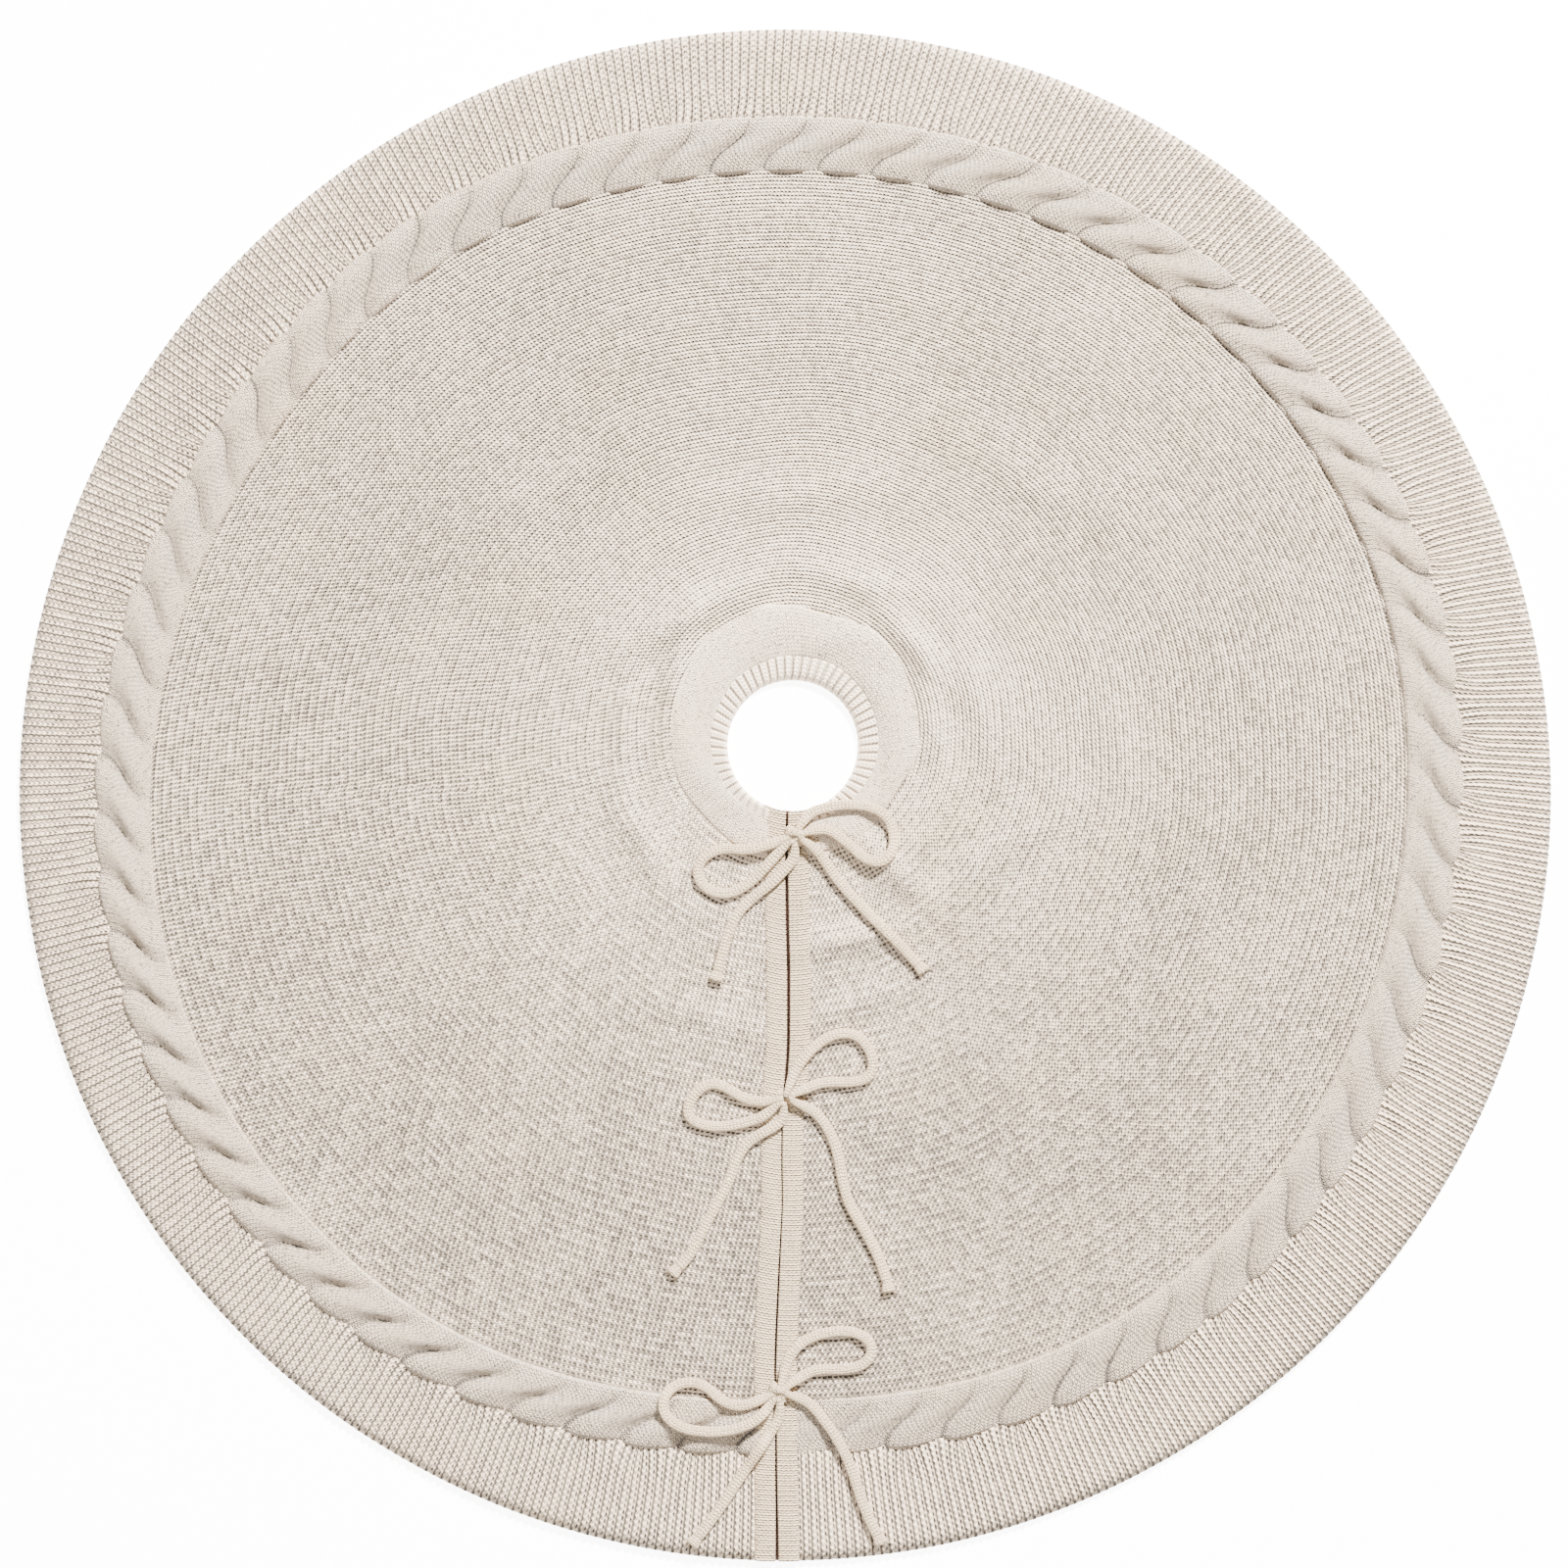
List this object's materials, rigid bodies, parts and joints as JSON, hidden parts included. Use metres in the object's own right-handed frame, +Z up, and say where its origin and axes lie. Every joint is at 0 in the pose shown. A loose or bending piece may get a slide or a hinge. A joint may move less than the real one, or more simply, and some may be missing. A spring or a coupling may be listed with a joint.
{
  "type": "tree skirt",
  "caption": "Round knitted tree skirt with a garter-stitch field, rope cable ring, wide border, ribbed neck hole and a front slit closed by tied bows.",
  "frame": {"origin": "centre of the round rim, on the surface that the skirt lies on", "axes": "+Z up, away from the floor; the slit runs from the neck hole toward -Y; +X to the right of someone who stands at the slit"},
  "size_m": [1.22, 1.2199, 0.0168],
  "materials": {
    "cream_knit": "soft cream cotton knit, garter stitch and rope cable",
    "pale_knit": "smooth pale cream stockinette knit",
    "warm_knit": "warm cream ribbed and folded knit",
    "linking_yarn": "cream linking yarn in the joins",
    "tie_cord": "cream knitted cord"
  },
  "bodies": {
    "root": {"ribbed_neck_trim": "warm_knit", "stockinette_collar": "pale_knit", "garter_field": "cream_knit", "rope_cable": "cream_knit", "garter_border": "cream_knit", "seam_trim_to_collar": "linking_yarn", "seam_collar_to_field": "linking_yarn", "seam_field_to_cable": "linking_yarn", "seam_cable_to_border": "linking_yarn", "left_placket": "warm_knit", "right_placket": "warm_knit", "left_placket_seam": "linking_yarn", "right_placket_seam": "linking_yarn", "top_bow_knot": "tie_cord", "top_right_loop": "tie_cord", "top_left_loop": "tie_cord", "top_right_tail": "tie_cord", "top_left_tail": "tie_cord", "top_right_tie_end": "tie_cord", "top_left_tie_end": "tie_cord", "middle_bow_knot": "tie_cord", "middle_right_loop": "tie_cord", "middle_left_loop": "tie_cord", "middle_right_tail": "tie_cord", "middle_left_tail": "tie_cord", "middle_right_tie_end": "tie_cord", "middle_left_tie_end": "tie_cord", "bottom_bow_knot": "tie_cord", "bottom_right_loop": "tie_cord", "bottom_left_loop": "tie_cord", "bottom_right_tail": "tie_cord", "bottom_left_tail": "tie_cord", "bottom_right_tie_end": "tie_cord", "bottom_left_tie_end": "tie_cord"}
  },
  "joints": []
}
